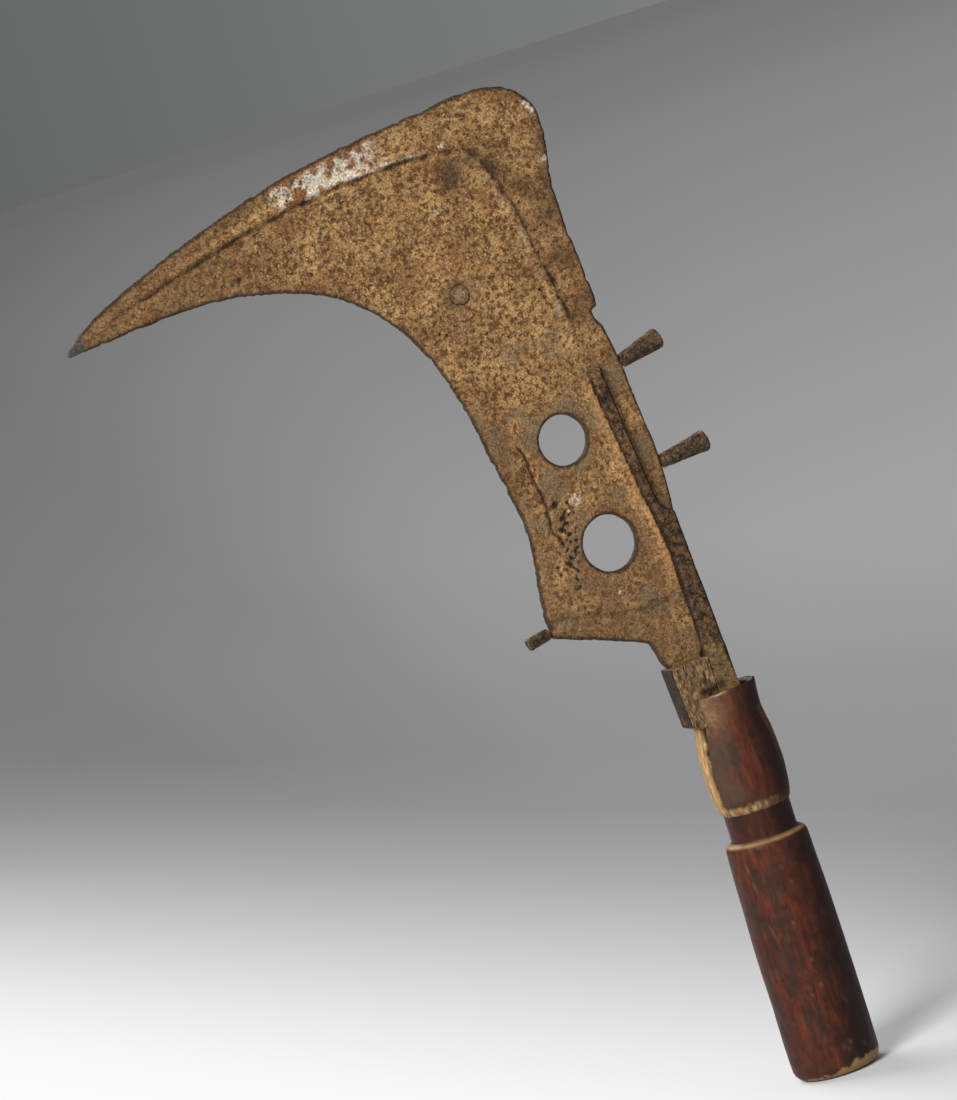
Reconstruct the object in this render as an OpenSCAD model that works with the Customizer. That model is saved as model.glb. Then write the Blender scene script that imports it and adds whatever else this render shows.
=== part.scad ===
// Hand sickle: a forged hooked blade with two holes, a tang bar and studs, in a turned wooden handle.
// X runs from the hook's point towards the blade's back, Z runs up the handle, the front face looks to -Y.
// The origin is on the handle's axis, halfway along the straight stretch of the grip.

/* [Handle] */
// Length of the grip, from the butt to the shoulder
grip_len = 93; // [80:1:115]
// Diameter of the straight stretch of the grip
grip_d = 33.8; // [32:0.2:42]
// Length of the straight stretch of the grip
straight_len = 48; // [36:1:60]
// Height of the rounded rim below the straight stretch
butt_round = 4; // [2:0.5:6]
// Diameter of the grip at the shoulder
shoulder_d = 31.4; // [28:0.2:38]
// Length of the turned groove above the shoulder
groove_len = 12; // [8:0.5:18]
// Diameter of the groove
groove_d = 25.4; // [20:0.2:28]
// Length of the barrel, from the groove to the collar's seat
barrel_len = 34; // [24:1:44]
// Largest diameter of the barrel
barrel_d = 30; // [26.6:0.2:38]
// Diameter of the pinched waist at the seat
waist_d = 26.4; // [25:0.2:32]
// Thickness of the lip's wall at the waist
lip_wall = 1.9; // [1.4:0.1:2.4]
// Height of the lip above the seat
lip_len = 12; // [8:0.5:16]
// Flare of the lip's rim over the waist, on the radius
lip_flare = 0.7; // [0:0.1:2]

/* [Tang] */
// Width of the tang where it fills the mouth
tang_w = 9.7; // [7:0.1:11]
// Distance from the handle's axis to the tang's hook side
tang_left = 2.7; // [1:0.1:5]
// Depth of the tang in front of the plate's middle
tang_front = 6; // [4.5:0.1:7.2]
// Depth of the tang behind the plate's middle
tang_back = 4.5; // [3:0.1:6]
// Height of the shoulder that carries the plate, above the seat
tang_shoulder = 27; // [22:1:34]
// Length of the shank inside the handle
shank_len = 84; // [50:1:100]
// Width of the shank at its top
shank_top = 8; // [6:0.1:9]
// Width of the shank at its point
shank_tip = 4; // [2:0.1:6]
// How far the bar stands proud of the plate
bar_proud = 3.6; // [2:0.1:5]
// Chamfer along the bar's front
bar_chamfer = 1; // [0.4:0.1:1.6]

/* [Collar] */
// Height of the collar
collar_h = 25; // [16:1:32]
// Distance from the handle's axis to the collar's outer side, at its top
collar_reach = 18.6; // [17:0.1:22]
// How much nearer the axis that side is at the bottom
collar_lean = 1.6; // [0:0.1:3]
// Wall of the collar outside the plate's foot
collar_wall = 1.8; // [1.2:0.1:2.6]

/* [Blade] */
// Thickness of the plate
plate_t = 3; // [2:0.1:4]
// Thickness left along the thinned edges
edge_t = 1; // [0.4:0.1:1.6]
// Reach of the hook, from the blade's body to the point
hook_reach = 140; // [100:1:175]
// Rise of the hook above the upper stud
hook_rise = 105; // [85:1:130]
// Height of the ridge on the front face
ridge_h = 1.2; // [0.4:0.1:2]
// Height of the ridge on the back face
ridge_back_h = 0.6; // [0.2:0.1:2]
// Half width of the ridge at its foot
ridge_foot = 3; // [2:0.1:4]

/* [Holes in the plate] */
// Diameter of the upper hole
upper_hole_d = 18.8; // [10:0.1:24]
// Diameter of the lower hole
lower_hole_d = 21; // [10:0.1:26]
// Diameter of the plug
plug_d = 7.2; // [5:0.1:10]
// How far the plug stands proud of each face
plug_proud = 0.4; // [0:0.1:1]

/* [Studs] */
// Diameter of the two back studs at the plate
stud_root_d = 5.6; // [4.4:0.1:8]
// Diameter of the two back studs at their ends
stud_end_d = 8.4; // [5:0.1:11]
// Length of the upper back stud
upper_stud_len = 17.6; // [12:0.1:24]
// Length of the lower back stud
lower_stud_len = 20; // [12:0.1:26]
// Diameter of the toe stud at the plate
toe_root_d = 4.6; // [3:0.1:6]
// Diameter of the toe stud at its end
toe_end_d = 5.1; // [3:0.1:7]
// Length of the toe stud
toe_stud_len = 9.6; // [6:0.1:14]
// Diameter of the tenon that holds each stud
tenon_d = 1.8; // [1.2:0.1:2]
// Length of each tenon
tenon_len = 5; // [3:0.1:7]
// Depth of the dimple in the toe stud's end
dimple_depth = 0.5; // [0.2:0.1:1]

/* [Fits] */
// Gap between pieces that seat in each other
seat_gap = 0.15; // [0.1:0.05:0.3]
// Gap round a tenon or the plug, on the radius
tenon_gap = 0.05; // [0.02:0.01:0.1]
// Gap between the collar and the window cut for it in the lip
window_gap = 0.4; // [0.2:0.1:0.8]
// Gap round the shank in its socket
socket_gap = 0.3; // [0.2:0.1:0.6]
// How far the bedding's top lies below the lip's rim
bedding_drop = 3; // [2:0.5:6]

/* [Hidden] */
$fn = 72;

// Heights above the butt
shoulder_z = grip_len;
barrel_z = shoulder_z + groove_len;
seat_z = barrel_z + barrel_len;
rim_z = seat_z + lip_len;
origin_z = butt_round + straight_len / 2;
mouth_r = waist_d / 2 - lip_wall;

// Everything above the seat is measured in [x, height over the seat]
front_y = -plate_t / 2;
tang_right = tang_w - tang_left;
foot_left = -(collar_reach - collar_lean - collar_wall + 1.6);
foot_right = -tang_left - seat_gap;
foot_base = 3;
plate_rest = tang_shoulder + seat_gap;

// The hook's points are drawn for these sizes and move with the named reach and rise
drawn_reach = 140;
drawn_rise = 105;
hook_from_x = -60;
hook_from_h = 145;

function reach(x) =
    x < hook_from_x ? hook_from_x + (x - hook_from_x) * hook_reach / drawn_reach : x;
function rise(h) =
    h > hook_from_h ? hook_from_h + (h - hook_from_h) * hook_rise / drawn_rise : h;

// Smooth curve through hand-set rows, with n steps between each pair
function bend(a, b, c, d, t) =
    0.5 * (2 * b + (c - a) * t + (2 * a - 5 * b + 4 * c - d) * t * t
           + (3 * b - a - 3 * c + d) * t * t * t);
function through(c, n) = [
    for (i = [0:len(c) - 2], s = [0:n - 1])
        bend(c[max(i - 1, 0)], c[i], c[i + 1], c[min(i + 2, len(c) - 1)], s / n),
    c[len(c) - 1]
];
function toward(a, b) = (b - a) / norm(b - a);

// Stations across the blade, from the foot to the point. Each row is
// [hook edge x, height, thinned width, back edge x, height, thinned width,
//  ridge crest x, height, share of the ridge, share of the plate's thickness]
foot_rows = [
    [foot_left, foot_base, 0.2, 5.4, foot_base, 0.2, -10.8, foot_base, 0, 1],
    [foot_left, collar_h + 0.1, 0.2, 5.4, collar_h + 0.1, 0.2, -10.8, collar_h + 0.1, 0, 1]];
body_rows = [
    [-18.2, collar_h + 0.8, 0.3, 5.4, 27, 0.4, -10.8, 26.5, 0, 1],
    [-19.6, collar_h + 4, 0.4, 5.3, 31, 0.5, -10.8, 30, 0, 1],
    [-21.3, 36, 0.5, 5.2, 36, 0.5, -10.8, 36, 0, 1],
    [-23, 36.9, 0.6, 5.1, 38, 0.5, -10.8, 37.5, 0, 1],
    [-35, 42, 0.8, 5, 42, 0.5, -10.8, 42, 0, 1],
    [-46, 46, 0.8, 4.8, 45.5, 0.5, -10.8, 45.7, 0, 1],
    [-55, 49.3, 0.8, 4.6, 49.5, 0.5, -10.8, 49.4, 0, 1],
    [-57.4, 50.8, 0.6, 4.4, 53, 0.5, -10.8, 52, 0, 1],
    [-57.3, 54.4, 0.6, 4.2, 57, 0.5, -10.8, 56, 0, 1],
    [-57.8, 59, 1.5, 3.8, 62, 0.5, -10.8, 61, 0, 1],
    [-56.2, 72, 3, 3.4, 74, 0.5, -10.8, 73, 0, 1],
    [-54.3, 87, 3.5, 4.5, 86, 0.6, -10.8, 86, 0, 1],
    [-55.6, 101, 4, 4.8, 102, 0.8, -10.8, 101, 0, 1],
    [-58.6, 117, 4.5, 3.4, 118, 0.8, -10.8, 118, 0, 1],
    [-61.6, 135, 5, 2, 135, 0.8, -11, 136, 0, 1],
    [-62.8, 140, 5, 1.3, 140.5, 0.8, -11.2, 140.6, 0, 1],
    [-64, 145, 5, 0.4, 146, 0.8, -11.6, 144.6, 0.3, 1]];
notch_rows = [
    [-65.8, 151, 5, -0.6, 152, 0.6, -12.6, 151, 0.7, 1],
    [-66.8, 154, 5, -2.2, 155, 0.5, -13, 154.5, 0.8, 1],
    [-67.9, 157, 5, -3.5, 158, 0.5, -13.6, 157.7, 0.9, 1],
    [-68.7, 159, 5, -3.2, 160.2, 0.5, -14, 160, 0.9, 1],
    [-69.5, 161, 5, -0.6, 162, 0.8, -14.4, 162, 0.9, 1]];
hook_rows = [
    [-74.4, 170.5, 5, -1.4, 176, 1, -16.2, 173, 1, 0.97],
    [-79, 177, 5, -3, 194, 1, -18.8, 189, 1, 0.95],
    [-84, 183, 5, -2.8, 211, 1, -21.5, 204, 1, 0.93],
    [-88, 186.6, 5, -0.8, 222, 1, -24.5, 215, 1, 0.92],
    [-91.5, 189.3, 5, 0, 231.5, 1.2, -27, 221, 1, 0.91],
    [-95, 192, 5, -1.4, 239, 1.5, -30.5, 226.5, 1, 0.9],
    [-99.5, 194.8, 5, -9, 247.2, 2, -36, 231, 1, 0.9],
    [-107, 198.2, 5, -24, 250.2, 2.5, -46, 233.7, 1, 0.88],
    [-119, 202, 5, -50, 248.1, 3, -68, 233.6, 1, 0.86],
    [-131, 204.6, 5, -80, 244.7, 4, -92, 232.2, 1, 0.83],
    [-145, 206, 4.5, -108, 240, 4, -117, 228.6, 1, 0.8],
    [-158, 206, 4, -134, 233, 3.5, -140, 223.4, 1, 0.76],
    [-172, 205.3, 3, -158, 225.5, 3, -162, 217.5, 0.9, 0.72],
    [-184, 204.3, 2, -178, 217.8, 2, -180, 212, 0.6, 0.66],
    [-193, 203.8, 1.2, -190.5, 211.9, 1.2, -191.5, 207.6, 0.3, 0.6],
    [-198.6, 203.4, 0.3, -199.8, 204.8, 0.3, -199.3, 204.1, 0, 0.5]];
stations = concat(foot_rows, through(concat(body_rows, notch_rows, hook_rows), 3));

// Bar on the front face, from the shoulder up: [hook side x, height, back side x, height]
bar_rows = [[-2.7, tang_shoulder - 1, 6.1, tang_shoulder - 1], [-3, 48, 4.9, 48], [-3.2, 57, 4.2, 57],
            [-3.5, 69, 3.3, 73], [-4.6, 77, 2.9, 80], [-5.6, 82.5, -1.8, 83.5], [-6.7, 88, -2.7, 88],
            [-9.3, 107, -5, 107], [-12.1, 126, -7, 126], [-13.5, 139, -8.2, 139.6]];

// Centres of the round features, in [x, height]
upper_hole_at = [-29.8, 118];
lower_hole_at = [-24.5, 76.5];
plug_at = [-51.3, 180.6];
// Roots of the studs and the angle that each points at, from +X towards +Z
upper_stud_at = [1.9, 138.4];
upper_stud_turn = 13;
lower_stud_at = [5.1, 98.4];
lower_stud_turn = 6;
toe_stud_at = [-57.8, 52.4];
toe_stud_turn = 189;

iron = "#7d6340";
dark_iron = "#3b3027";
wood = "#5e2c1f";
pitch = "#1f1814";

// Closed skin over rings of points that all run the same way round
module skin(rings) {
    m = len(rings[0]);
    last = (len(rings) - 1) * m;
    walls = [for (k = [0:len(rings) - 2], i = [0:m - 1], half = [0, 1])
        let (a = k * m + i, b = k * m + (i + 1) % m)
        half == 0 ? [a, b + m, b] : [a, a + m, b + m]];
    cap = [for (j = [0:m / 2 - 2], half = [0, 1])
        half == 0 ? [j, j + 1, m - 2 - j] : [j, m - 2 - j, m - 1 - j]];
    far_cap = [for (t = cap) [t[0] + last, t[2] + last, t[1] + last]];
    polyhedron([for (r = rings) each r], concat(walls, cap, far_cap));
}

// Section of the blade at one station: front face from hook edge to back edge, then the back face
function blade_ring(row) =
    let (hook = [reach(row[0]), rise(row[1])], back = [reach(row[3]), rise(row[4])],
         crest = [reach(row[6]), rise(row[7])],
         to_hook = toward(crest, hook), to_back = toward(crest, back),
         foot_h = min(ridge_foot, (norm(hook - crest) - row[2]) / 2),
         foot_b = min(ridge_foot, (norm(back - crest) - row[5]) / 2),
         across = [hook, hook - to_hook * row[2], crest + to_hook * foot_h, crest,
                   crest + to_back * foot_b, back - to_back * row[5], back],
         face = plate_t / 2 * row[9], thin = min(edge_t / 2, face),
         front = [thin, face, face, face + ridge_h * row[8], face, face, thin],
         rear = [thin, face, face, face + ridge_back_h * row[8], face, face, thin])
    [for (i = [0:6]) [across[i][0], -front[i], across[i][1]],
     for (i = [6:-1:0]) [across[i][0], rear[i], across[i][1]]];

function bar_ring(row) =
    let (top = front_y - bar_proud, shy = top + bar_chamfer)
    [[row[0], front_y, row[1]], [row[0], shy, row[1]], [row[0] + bar_chamfer, top, row[1]],
     [row[2] - bar_chamfer, top, row[3]], [row[2], shy, row[3]], [row[2], front_y, row[3]]];

// Moves a child from a spot on the plate's middle plane, turned from +X towards +Z
module at_plate(spot, turn = 0) {
    translate([spot[0], 0, spot[1]]) rotate([0, -turn, 0]) children();
}

// Round hole or pin straight through the plate
module across_plate(spot, d, length) {
    translate([spot[0], 0, spot[1]]) rotate([90, 0, 0]) cylinder(d = d, h = length, center = true);
}

// Socket in the plate's edge for a stud's tenon
module tenon_socket(spot, turn) {
    at_plate(spot, turn) rotate([0, 90, 0])
        translate([0, 0, -tenon_len - seat_gap])
            cylinder(r = tenon_d / 2 + tenon_gap, h = tenon_len + 3, $fn = 24);
}

module stud(root_d, end_d, length, dimple = 0) {
    rounding = 0.8;
    rotate([0, 90, 0]) {
        translate([0, 0, -tenon_len]) cylinder(d = tenon_d, h = tenon_len + 1, $fn = 24);
        difference() {
            rotate_extrude($fn = 36) polygon([[0, 0], [root_d / 2 - 0.3, 0], [root_d / 2, 0.5],
                [end_d / 2, length - rounding], [end_d / 2 - rounding * 0.4, length - rounding * 0.3],
                [end_d / 2 - rounding, length], [0, length]]);
            if (dimple > 0)
                translate([0, 0, length - dimple]) cylinder(d = end_d * 0.55, h = dimple + 1, $fn = 24);
        }
    }
}

module above_seat() {
    translate([0, 0, seat_z - origin_z]) children();
}

module handle() {
    grip_r = grip_d / 2;
    shoulder_r = shoulder_d / 2;
    groove_r = groove_d / 2;
    barrel_r = barrel_d / 2;
    waist_r = waist_d / 2;
    edge = 0.6;
    taper_z = butt_round + straight_len;
    butt = [[0, 0], [grip_r - butt_round * 0.6, 0], [grip_r - butt_round * 0.2, butt_round * 0.25]];
    grip = [[grip_r, butt_round], [grip_r, taper_z],
            [(grip_r + shoulder_r) / 2 + 0.2, (taper_z + shoulder_z) / 2],
            [shoulder_r, shoulder_z - 2], [shoulder_r - 0.8, shoulder_z - 0.4]];
    groove = [[groove_r + edge, shoulder_z], [groove_r, shoulder_z + edge], [groove_r, barrel_z - edge]];
    barrel = [for (step = [[0.02, 1.2], [0.18, 0.4], [0.36, 0], [0.58, 0.2]])
        [barrel_r - step[1], barrel_z + barrel_len * step[0]]];
    lip = [[(barrel_r + waist_r) / 2, barrel_z + barrel_len * 0.8], [waist_r, seat_z],
           [waist_r, seat_z + lip_len / 4], [waist_r + lip_flare, rim_z], [0, rim_z]];
    window_y = tang_front + tang_back + 2 * window_gap;
    color(wood) translate([0, 0, -origin_z]) difference() {
        rotate_extrude($fn = 96) polygon(concat(butt, grip, groove, barrel, lip));
        translate([0, 0, seat_z]) cylinder(r = mouth_r, h = lip_len + 1);
        translate([-waist_d, -tang_front - window_gap, seat_z]) cube([waist_d, window_y, lip_len + 1]);
        translate([0, 0, seat_z]) shank(socket_gap, 1);
    }
}

// Tapered square shank below the seat; grow widens it and over carries it up past the seat
module shank(grow, over) {
    centre_x = (tang_right - tang_left) / 2;
    top = shank_top + 2 * grow;
    tip = shank_tip + 2 * grow;
    translate([centre_x, 0, 0]) hull() {
        translate([-top / 2, -top / 2, 0]) cube([top, top, over]);
        translate([-tip / 2, -tip / 2, -shank_len - grow]) cube([tip, tip, 1]);
    }
}

module bedding() {
    hole_y = tang_front + tang_back + 2 * seat_gap;
    hole_x = mouth_r + tang_right + seat_gap;
    color(pitch) above_seat() difference() {
        translate([0, 0, seat_gap]) cylinder(r = mouth_r - seat_gap, h = lip_len - bedding_drop - seat_gap);
        translate([-mouth_r, -tang_front - seat_gap, -1]) cube([hole_x, hole_y, lip_len + 2]);
    }
}

module tang_bar() {
    color(dark_iron) above_seat() union() {
        skin([for (row = bar_rows) bar_ring(row)]);
        translate([-tang_left, -tang_front, seat_gap])
            cube([tang_w, tang_front + tang_back, tang_shoulder - seat_gap]);
        shank(0, 1);
    }
}

module tang_collar() {
    low_left = -(collar_reach - collar_lean);
    slot_y = plate_t + 2 * seat_gap;
    under = 3;
    edge = 0.6;
    color(iron) above_seat() difference() {
        translate([0, tang_back, 0]) rotate([90, 0, 0]) linear_extrude(tang_front + tang_back)
            polygon([[foot_right, seat_gap], [low_left + under, seat_gap], [low_left, under * 0.6],
                     [-collar_reach, collar_h - edge], [-collar_reach + edge, collar_h],
                     [foot_right, collar_h]]);
        translate([foot_left - seat_gap, -slot_y / 2, foot_base - seat_gap])
            cube([foot_right - foot_left + seat_gap + 1, slot_y, collar_h]);
    }
}

module blade() {
    through_all = plate_t + 2 * ridge_h + 4;
    color(iron) above_seat() difference() {
        skin([for (row = stations) blade_ring(row)]);
        translate([foot_right, -plate_t, 0]) cube([tang_w + 4, 2 * plate_t, plate_rest]);
        across_plate(upper_hole_at, upper_hole_d, through_all);
        across_plate(lower_hole_at, lower_hole_d, through_all);
        across_plate([reach(plug_at[0]), rise(plug_at[1])], plug_d + 2 * tenon_gap, through_all);
        tenon_socket(upper_stud_at, upper_stud_turn);
        tenon_socket(lower_stud_at, lower_stud_turn);
        tenon_socket(toe_stud_at, toe_stud_turn);
    }
}

module plug() {
    color(dark_iron) above_seat()
        across_plate([reach(plug_at[0]), rise(plug_at[1])], plug_d, plate_t + 2 * plug_proud);
}

module upper_back_stud() {
    color(dark_iron) above_seat() at_plate(upper_stud_at, upper_stud_turn)
        stud(stud_root_d, stud_end_d, upper_stud_len);
}

module lower_back_stud() {
    color(dark_iron) above_seat() at_plate(lower_stud_at, lower_stud_turn)
        stud(stud_root_d, stud_end_d, lower_stud_len);
}

module toe_stud() {
    color(dark_iron) above_seat() at_plate(toe_stud_at, toe_stud_turn)
        stud(toe_root_d, toe_end_d, toe_stud_len, dimple_depth);
}

handle();
bedding();
tang_bar();
tang_collar();
blade();
plug();
upper_back_stud();
lower_back_stud();
toe_stud();
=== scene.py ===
import math
import bpy
import numpy as np
from mathutils import Matrix, Vector, kdtree, noise


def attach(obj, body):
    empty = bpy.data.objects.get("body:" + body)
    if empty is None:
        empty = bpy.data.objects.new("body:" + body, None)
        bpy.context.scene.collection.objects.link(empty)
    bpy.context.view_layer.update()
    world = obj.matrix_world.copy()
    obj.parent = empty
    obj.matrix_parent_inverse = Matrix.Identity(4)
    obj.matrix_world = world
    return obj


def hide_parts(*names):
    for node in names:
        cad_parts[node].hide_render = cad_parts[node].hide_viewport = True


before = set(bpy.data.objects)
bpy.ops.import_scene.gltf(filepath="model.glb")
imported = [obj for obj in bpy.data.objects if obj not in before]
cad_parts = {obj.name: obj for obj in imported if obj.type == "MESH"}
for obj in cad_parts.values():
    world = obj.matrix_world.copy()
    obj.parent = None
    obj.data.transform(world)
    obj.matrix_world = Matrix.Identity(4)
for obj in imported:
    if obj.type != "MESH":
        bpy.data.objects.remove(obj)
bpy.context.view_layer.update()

mm = 0.001  # the pieces are written in millimetres and scaled by this
buttDrop = 28  # the handle's butt lies this far under the origin, in mm
scene = bpy.context.scene
scene.view_settings.view_transform = "Standard"


# small helpers

def hexTone(code):
    # an sRGB hex value turned linear
    parts = [int(code[i:i + 2], 16) / 255 for i in (1, 3, 5)]
    return tuple(c / 12.92 if c <= 0.04045 else ((c + 0.055) / 1.055) ** 2.4 for c in parts) + (1.0,)


def addNode(tree, kind, settings=None, links=None, stops=None):
    # one shader node: properties, inputs (a socket is linked, anything else is set) and ramp stops
    node = tree.nodes.new("ShaderNode" + kind)
    for name, value in (settings or {}).items():
        setattr(node, name, value)
    for socket, source in (links or {}).items():
        if isinstance(source, bpy.types.NodeSocket):
            tree.links.new(source, node.inputs[socket])
        else:
            node.inputs[socket].default_value = source
    for i, (place, tone) in enumerate(stops or []):
        mark = node.color_ramp.elements[i] if i < 2 else node.color_ramp.elements.new(place)
        mark.position = place
        mark.color = tone if isinstance(tone, tuple) else (tone, tone, tone, 1.0)
    return node


def newMaterial(name):
    material = bpy.data.materials.new(name)
    material.use_nodes = True
    material.node_tree.nodes.clear()
    return material, material.node_tree


def pickOnly(piece):
    bpy.ops.object.select_all(action="DESELECT")
    piece.select_set(True)
    bpy.context.view_layer.objects.active = piece


def applyAll(piece):
    pickOnly(piece)
    for modifier in list(piece.modifiers):
        bpy.ops.object.modifier_apply(modifier=modifier.name)


def readPoints(piece):
    points = np.zeros(len(piece.data.vertices) * 3)
    piece.data.vertices.foreach_get("co", points)
    return points.reshape(-1, 3) / mm


def writePoints(piece, points):
    piece.data.vertices.foreach_set("co", (points * mm).ravel())
    piece.data.update()


def readNormals(piece):
    normals = np.zeros(len(piece.data.vertices) * 3)
    piece.data.vertices.foreach_get("normal", normals)
    return normals.reshape(-1, 3)


def paintMask(piece, name, values):
    mask = piece.data.attributes.new(name, "FLOAT", "POINT")
    mask.data.foreach_set("value", np.clip(values, 0, 1).astype(np.float32))


def grain(points, size, seed, stretch=(1, 1, 1)):
    # smooth noise from about -1 to 1, with bumps about size mm wide
    placed = points / (size * np.array(stretch)) + seed * 7.3
    return np.array([noise.noise(Vector(p)) for p in placed])


def ease(values, low, high):
    t = np.clip((values - low) / (high - low), 0, 1)
    return t * t * (3 - 2 * t)


def lineSides(points, line):
    # seen from the front: distance to a line of (x, z) points, the side of it (left of travel is +1), and the
    # share of its length at the nearest spot
    line = np.array(line, float)
    best = np.full(len(points), 1e9)
    side = np.zeros(len(points))
    along = np.zeros(len(points))
    steps = np.linalg.norm(np.diff(line, axis=0), axis=1)
    total = steps.sum()
    gone = 0
    for a, b, length in zip(line[:-1], line[1:], steps):
        d = (b - a) / length
        rel = points[:, [0, 2]] - a
        t = np.clip(rel @ d, 0, length)
        off = rel - t[:, None] * d
        dist = np.hypot(off[:, 0], off[:, 1])
        near = dist < best
        best[near] = dist[near]
        side[near] = np.sign(d[0] * off[near, 1] - d[1] * off[near, 0])
        along[near] = (gone + t[near]) / total
        gone += length
    return best, side, along


def gapTo(points, x, z):
    # distance from (x, z), seen from the front
    return np.hypot(points[:, 0] - x, points[:, 2] - z)


def spot(points, x, z, size):
    # 1 at (x, z), fading out over about size mm
    return np.exp(-(gapTo(points, x, z) / size) ** 2)


def forgeCopy(nodeName, pieceName, voxel, smoothing):
    # the frame's solid, copied and merged, then remeshed finely enough to be hammered and pitted
    piece = bpy.data.objects.new(pieceName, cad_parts[nodeName].data.copy())
    scene.collection.objects.link(piece)
    piece.data.materials.clear()
    pickOnly(piece)
    bpy.ops.object.mode_set(mode="EDIT")
    bpy.ops.mesh.select_all(action="SELECT")
    bpy.ops.mesh.remove_doubles(threshold=0.00001)
    bpy.ops.object.mode_set(mode="OBJECT")
    remesh = piece.modifiers.new("Remesh", "REMESH")
    remesh.mode = "VOXEL"
    remesh.voxel_size = voxel * mm
    applyAll(piece)
    bpy.ops.object.mode_set(mode="EDIT")
    bpy.ops.mesh.select_all(action="SELECT")
    if smoothing:
        bpy.ops.mesh.vertices_smooth(factor=0.5, repeat=smoothing)
    bpy.ops.mesh.normals_make_consistent(inside=False)
    bpy.ops.object.mode_set(mode="OBJECT")
    bpy.ops.object.shade_smooth()
    return piece


def finishPiece(piece, nodeName, material):
    piece.data.materials.clear()
    piece.data.materials.append(material)
    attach(piece, "root")
    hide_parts(nodeName)


# camera, floor and light

cameraLook = {
    # metres and degrees, the lens in mm
    "aim": (-0.0739, 0.0, 0.2012),
    "azimuth": -20,
    "elevation": 5.5,
    "roll": 17.68,
    "distance": 1.9,
    "lens": 170.51,
}

turn = math.radians(cameraLook["azimuth"])
lift = math.radians(cameraLook["elevation"])
roll = math.radians(cameraLook["roll"])
back = Vector((math.sin(turn) * math.cos(lift), -math.cos(turn) * math.cos(lift), math.sin(lift)))
right = Vector((math.cos(turn), math.sin(turn), 0))
up = back.cross(right)
across = right * math.cos(roll) - up * math.sin(roll)
upward = right * math.sin(roll) + up * math.cos(roll)
facing = Matrix((across, upward, back)).transposed()
bpy.ops.object.camera_add(
    location=Vector(cameraLook["aim"]) + back * cameraLook["distance"], rotation=facing.to_euler())
camera = bpy.context.object
camera.data.lens = cameraLook["lens"]
camera.data.sensor_width = 36
camera.data.clip_end = 200
scene.camera = camera

lampLook = {
    # name: (azimuth it comes from, elevation, strength, soft angle in degrees), azimuth 0 is the ridged face
    "windowLamp": (-52, 36, 3.3, 26),
    "rearLamp": (195, 40, 2.2, 40),
}
for lampName, (azimuth, elevation, strength, spread) in lampLook.items():
    a, e = math.radians(azimuth), math.radians(elevation)
    source = Vector((math.sin(a) * math.cos(e), -math.cos(a) * math.cos(e), math.sin(e)))
    bpy.ops.object.light_add(type="SUN", location=source, rotation=source.to_track_quat("Z", "Y").to_euler())
    lamp = bpy.context.object
    lamp.name = lampName
    lamp.data.energy = strength
    lamp.data.angle = math.radians(spread)

# the room: an even soft light, and a plain grey for the camera and for what glosses reflect
world = bpy.data.worlds.new("studio")
scene.world = world
world.use_nodes = True
world.node_tree.nodes.clear()
sky = world.node_tree
rays = addNode(sky, "LightPath")
seen = addNode(sky, "Math", {"operation": "MAXIMUM"},
               {0: rays.outputs["Is Camera Ray"], 1: rays.outputs["Is Glossy Ray"]})
seenAll = addNode(sky, "Math", {"operation": "MAXIMUM"},
                  {0: seen.outputs[0], 1: rays.outputs["Is Transmission Ray"]})
soft = addNode(sky, "Background", None, {"Color": (1, 1, 1, 1), "Strength": 0.28})
toward = addNode(sky, "SeparateXYZ", None, {0: addNode(sky, "TexCoord").outputs["Generated"]})
turned = addNode(sky, "Math", {"operation": "DIVIDE"}, {0: toward.outputs[0], 1: toward.outputs[1]})
paler = addNode(sky, "MapRange", None, {0: turned.outputs[0], 1: 0.26, 2: 0.46, 3: 0.78, 4: 1.42})
grey = addNode(sky, "Background", None, {"Color": hexTone("#6B6D6C"), "Strength": paler.outputs[0]})
room = addNode(sky, "MixShader", None, {0: seenAll.outputs[0], 1: soft.outputs[0], 2: grey.outputs[0]})
addNode(sky, "OutputWorld", None, {"Surface": room.outputs[0]})

floorLook = {"radius": 60, "level": -buttDrop * mm}  # metres, so wide that its rim is far off
bpy.ops.mesh.primitive_circle_add(vertices=96, radius=floorLook["radius"], fill_type="NGON",
                                  location=(0, 0, floorLook["level"]))
floor = bpy.context.object
floor.name = "floor"
bpy.ops.object.transform_apply(location=True, rotation=True, scale=True)
# matt board whose colour carries a painted pool of light: near white round the handle, falling off to grey
# further away
boardMaterial, tree = newMaterial("mattBoardPaintedLight")
place = addNode(tree, "TexCoord")
split = addNode(tree, "SeparateXYZ", None, {0: place.outputs["Object"]})
lean = addNode(tree, "Math", {"operation": "MULTIPLY_ADD"}, {
    0: split.outputs[1], 1: 0.088, 2: split.outputs[0]})
reach = addNode(tree, "MapRange", None, {0: lean.outputs[0], 1: -0.1, 2: 0.9})
falloff = addNode(tree, "ValToRGB", None, {0: reach.outputs[0]}, [
    (0.0, 0.72), (0.05, 0.69), (0.1, 0.62), (0.15, 0.53), (0.2, 0.44), (0.25, 0.36), (0.3, 0.29),
    (0.35, 0.245), (0.4, 0.22), (0.5, 0.222), (0.6, 0.226), (0.7, 0.243), (0.9, 0.268), (1.0, 0.278)])
depth = addNode(tree, "MapRange", None, {0: split.outputs[1], 1: 0.0, 2: 40.0})
distant = addNode(tree, "ValToRGB", None, {0: depth.outputs[0]}, [
    (0.0, 1.0), (0.03, 1.0), (0.055, 0.9), (0.09, 0.8), (0.125, 0.74), (0.2, 0.66), (0.35, 0.57), (0.5, 0.52),
    (0.65, 0.5), (1.0, 0.45)])
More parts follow.
